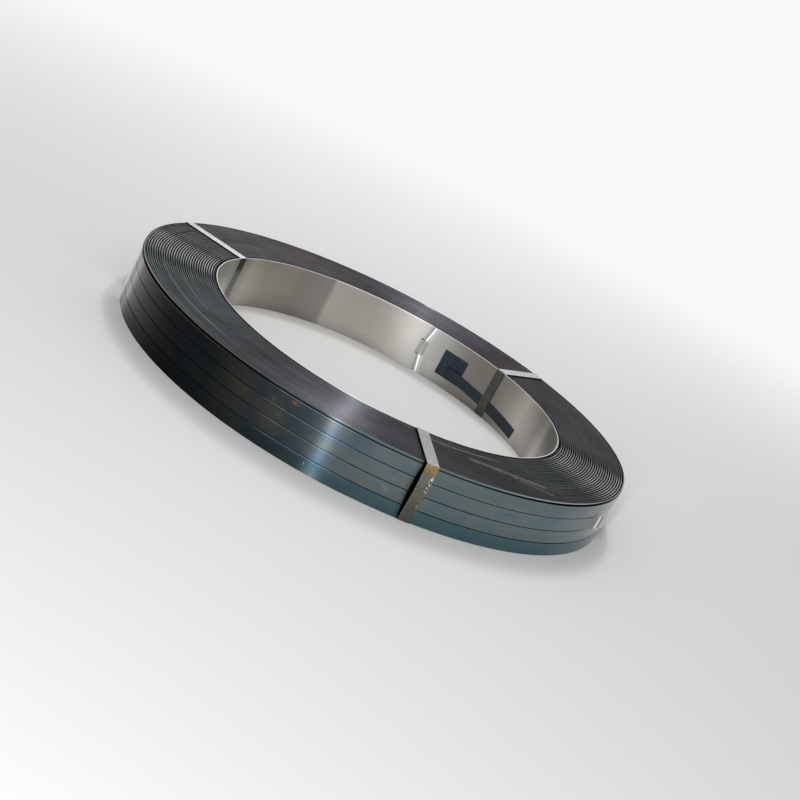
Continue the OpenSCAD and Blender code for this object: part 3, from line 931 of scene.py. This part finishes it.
# The sheet's grid: a column for each degree travelled, fine ones at the crease and the joggle, each by its
# first travel and count, and one at each side of the window
FINE_STEP = 0.2
FINE_COLUMNS = ((33.0, 31), (355.5, 20))
SHEET_ROWS = 20
whole_travel = LAP_EDGE - LAP_END + 360.0
travels = {float(i) for i in range(math.floor(whole_travel) + 1)} | {whole_travel}
travels |= {first + FINE_STEP * i for first, count in FINE_COLUMNS for i in range(count)}
travels = sorted(travels | {LAP_EDGE - angle for angle in WINDOW_ANGLES})
heights = sorted({END_LOW + COIL_H * i / SHEET_ROWS for i in range(SHEET_ROWS + 1)} | set(WINDOW_HEIGHTS))


def in_window(column, row):
    t = (travels[column] + travels[column + 1]) / 2
    z = (heights[row] + heights[row + 1]) / 2
    return (LAP_EDGE - WINDOW_ANGLES[1] < t < LAP_EDGE - WINDOW_ANGLES[0]
            and WINDOW_HEIGHTS[0] < z < WINDOW_HEIGHTS[1])


def on_core(layer, column, row):
    t, z = travels[column], heights[row]
    return around(sheet_radius(t, z) + layer * SHEET_T, math.radians(LAP_EDGE - t), z)


mesh = sheet("core_sheet", len(travels) - 1, len(heights) - 1, on_core, core_finish, in_window)
link("core_sheet", flat_sided(mesh), "core_sheet", "core_liner")

# The tongue stands a little proud of the sheet, between the two ends of its slot
SLOT_H = 0.0011
SLOT_ANGLES = (80.2, 82.0)


def bore_plate(name, angles, heights, radius, depth, columns, finish):
    """A thin curved plate that stands proud of the bore."""
    def place(layer, column, row):
        angle = angles[1] + (angles[0] - angles[1]) * column / columns
        return around(radius + layer * depth, math.radians(angle), heights[row])

    return sheet(name, columns, 1, place, finish)


tongue_finish, tree, surface = material("tongue_steel")
metal(tree, surface, Base_Color=rgba((0.30, 0.30, 0.29)), Roughness=0.4)
mesh = bore_plate("tongue", TONGUE_ANGLES, TONGUE_HEIGHTS, BORE_R - 0.0007, 0.0009, 6, tongue_finish)
link("tongue", mesh, "core_sheet")
# The slot's two ends are thin near-black plates on the bore, painted shade for the open slot
for i, height in enumerate((TONGUE_HEIGHTS[0] - SLOT_H, TONGUE_HEIGHTS[1])):
    mesh = bore_plate("slot_end", SLOT_ANGLES, (height, height + SLOT_H), BORE_R - 0.00006, 0.0002, 3,
                      hollow_shade_finish)
    link(f"slot_end_{i + 1}", mesh, "core_sheet")

# Tie bands. Three bright strips of half inch strap, folded over the coil's edges, hold it together.
# Their ends lap on the outer wall, where keys are punched into both edges.
BAND_W = 0.0127
BAND_T = 0.0004
WALL_GAP = 0.0009
JOINT_H = 0.042
JOINT_Z = END_LOW + (COIL_H - JOINT_H) / 2
# Beyond the first radius the band is on the wall, and within the second it is in the bore
ON_WALL_R = COIL_R + 0.0005
IN_BORE_R = BORE_R + 0.0001
WEAR_TINTS = [(0.35, (0.33, 0.33, 0.33)), (0.65, (0.68, 0.68, 0.67))]
# The punched keys are worn bright and dark along one edge of the joint, at these shares of the height
KEY_ROW = 0.0042
KEYED_HEIGHTS = [(0.26, 0.0), (0.30, 0.8), (0.38, 0.8), (0.42, 0.0), (0.54, 0.0), (0.58, 1.0), (0.84, 1.0),
                 (0.86, 0.0)]
KEY_TINTS = [(0.42, (0.03, 0.03, 0.028)), (0.48, (0.14, 0.135, 0.115)), (0.60, (0.62, 0.61, 0.58))]


def band_material(name, face, bore_stops, wall_stops, worn_keys=False):
    """Bright strap with one tint on the coil's ends, and tints by height in the bore, which are painted shade,
    and on the wall.
    """
    made, tree, surface = material(name)
    where = polar_of(tree)
    share = linear(tree, where["Height"], END_LOW, END_HIGH)
    on_wall = calc(tree, "GREATER_THAN", where["Radius"], ON_WALL_R)
    in_bore = calc(tree, "LESS_THAN", where["Radius"], IN_BORE_R)
    colour = mixed(tree, "MIX", on_wall, rgba(face), ramp(tree, share, wall_stops))
    colour = mixed(tree, "MIX", in_bore, colour, ramp(tree, share, bore_stops))
    if worn_keys:
        angle, bore_shift, wall_shift, *_ = BANDS["front"]
        on_band = add(tree, "ShaderNodeGroup", {"node_tree": band_place}, Band_angle=angle,
                      Bore_shift=bore_shift, Wall_shift=wall_shift).outputs
        in_row = linear(tree, apart(tree, on_band["Across"], KEY_ROW), 0.0017, 0.0009)
        keyed = calc(tree, "MULTIPLY", in_row, ramp(tree, share, KEYED_HEIGHTS))
        keyed = calc(tree, "MULTIPLY", keyed, on_wall)
        colour = mixed(tree, "MIX", keyed, colour, ramp(tree, noise(tree, 900.0, 1.0), KEY_TINTS))
    wear = noise(tree, 420.0, 5.0)
    colour = mixed(tree, "OVERLAY", 0.55, colour, ramp(tree, wear, WEAR_TINTS))
    dents = add(tree, "ShaderNodeBump", Strength=0.35, Distance=0.0003, Height=wear)
    metal(tree, surface, Base_Color=colour, Roughness=0.42, Normal=dents.outputs[0])
    return made


# Tints by the share of the height, in the bore and on the wall; the bore's tints are painted shade, on the left
# band lighter towards the bottom
bore_shade = [(0.0, (0.085, 0.090, 0.075)), (1.0, (0.085, 0.090, 0.075))]
bore_shade_left = [(0.0, (0.26, 0.255, 0.235)), (0.70, (0.20, 0.20, 0.18)), (0.78, (0.06, 0.062, 0.056)),
             (1.0, (0.045, 0.046, 0.042))]
bright_wall = [(0.0, (0.20, 0.20, 0.19)), (1.0, (0.36, 0.36, 0.36))]
stained_wall = [(0.0, (0.11, 0.11, 0.085)), (0.45, (0.13, 0.13, 0.10)), (0.80, (0.15, 0.145, 0.115)),
                (0.86, (0.22, 0.165, 0.095)), (1.0, (0.28, 0.215, 0.12))]
tarnished = band_material("tarnished_band", (0.22, 0.22, 0.23), bore_shade, stained_wall, worn_keys=True)
bright_rear = band_material("bright_band_rear", (0.38, 0.38, 0.39), bore_shade, bright_wall)
bright_left = band_material("bright_band_left", (0.50, 0.50, 0.51), bore_shade_left, bright_wall)

# How far the band stands off at half its height, the radius of its folds, and the steps of each line
WALL_BOW = 0.0022
CORNER_R = 0.0006
CORNER_STEPS = 4
WALL_PARTS = 12


def wall_bow(z):
    """The loose band stands off the wall, farthest at half its height."""
    share = min(1.0, max(0.0, z / END_HIGH))
    return WALL_BOW * math.sin(math.pi * share) ** 1.5


def band_loop(in_r, out_r, low, high):
    """The band's middle line as (radius, height) points: a rounded rectangle, anticlockwise."""
    points = []
    for cx, cz, start in ((out_r - CORNER_R, high - CORNER_R, 0), (in_r + CORNER_R, high - CORNER_R, 90),
                          (in_r + CORNER_R, low + CORNER_R, 180), (out_r - CORNER_R, low + CORNER_R, 270)):
        for i in range(CORNER_STEPS + 1):
            a = math.radians(start + 90 * i / CORNER_STEPS)
            points.append((cx + CORNER_R * math.cos(a), cz + CORNER_R * math.sin(a)))
    for i in range(1, WALL_PARTS):
        z = low + CORNER_R + (high - low - 2 * CORNER_R) * i / WALL_PARTS
        points.append((out_r + wall_bow(z), z))
    return points


def band_mesh(name, in_r, bore_shift, wall_shift, finish):
    out_r = COIL_R + WALL_GAP + BAND_T / 2
    line = band_loop(in_r - BAND_T / 2, out_r, BAND_T / 2, END_HIGH + BAND_T / 2)
    edge = BAND_T * 0.35
    w, t = BAND_W / 2, BAND_T / 2
    section = [(-w, edge - t), (edge - w, -t), (w - edge, -t), (w, edge - t), (w, t - edge), (w - edge, t),
               (edge - w, t), (-w, t - edge)]
    points = []
    for i, (r, z) in enumerate(line):
        (r0, z0), (r1, z1) = line[i - 1], line[(i + 1) % len(line)]
        along = Vector((r1 - r0, z1 - z0)).normalized()
        normal = Vector((along.y, -along.x))
        aslant = bore_shift + (wall_shift - bore_shift) * min(1.0, max(0.0, (r - in_r) / (COIL_R - in_r)))
        for across, lift in section:
            points.append((r + normal.x * lift, across + aslant, z + normal.y * lift))
    faces = [face[::-1] for face in ring_faces(len(line), len(section))]
    return mesh_of(name, points, faces, finish)


# The outer end of each band lies over the inner one. Keys are punched into both edges:
# each is sheared across, with one half bent out and the other half bent in.
KEY_COUNT = 4
KEY_H = 0.003
KEY_W = 0.0022
KEY_OUT = 0.00032
PLATE_STEP = 0.0003
PLATE_T = BAND_T * 0.8
JOINT_R = COIL_R + WALL_GAP + BAND_T + 0.00002


def joint_lift(across, up):
    """How far a point of the joint stands out, by its place across the band and up the joint."""
    pitch = JOINT_H / KEY_COUNT
    off = (up % pitch) - pitch / 2
    from_edge = BAND_W / 2 - abs(across)
    if abs(off) < KEY_H / 2 and from_edge < KEY_W:
        way = 1 if off > 0 else -1
        return way * KEY_OUT * (1 - from_edge / KEY_W) * (1 - abs(off) / KEY_H)
    return 0.0


def joint_plate(name, wall_shift, finish):
    columns, rows = round(BAND_W / PLATE_STEP), round(JOINT_H / PLATE_STEP)

    def place(layer, column, row):
        across, up = BAND_W * (0.5 - column / columns), JOINT_H * row / rows
        lift = joint_lift(across, up)
        radius = JOINT_R + 0.00005 + layer * (PLATE_T + min(0.0, lift)) + max(0.0, lift) * 0.6
        return radius + wall_bow(JOINT_Z + up), across + wall_shift, JOINT_Z + up

    return sheet(name, columns, rows, place, finish)


TIE_BANDS = (
    ("left", BORE_R - 0.00003, "band_bright", bright_left),
    ("rear", BORE_R - STRAP_T - 0.00006, "band_bright", bright_rear),
    ("front", BORE_R - 0.00003, "band_tarnished", tarnished),
)
for name, in_r, slot, finish in TIE_BANDS:
    angle, bore_shift, wall_shift, *_ = BANDS[name]
    turn = Matrix.Rotation(math.radians(angle), 4, "Z")
    band = band_mesh(f"band_{name}", in_r, bore_shift, wall_shift, finish)
    joint = joint_plate(f"joint_{name}", wall_shift, finish)
    for mesh in (band, joint):
        mesh.transform(turn)
        flat_sided(mesh)
    link(f"band_{name}", band, slot, f"tie_band_{name}")
    link(f"joint_{name}", joint, slot)
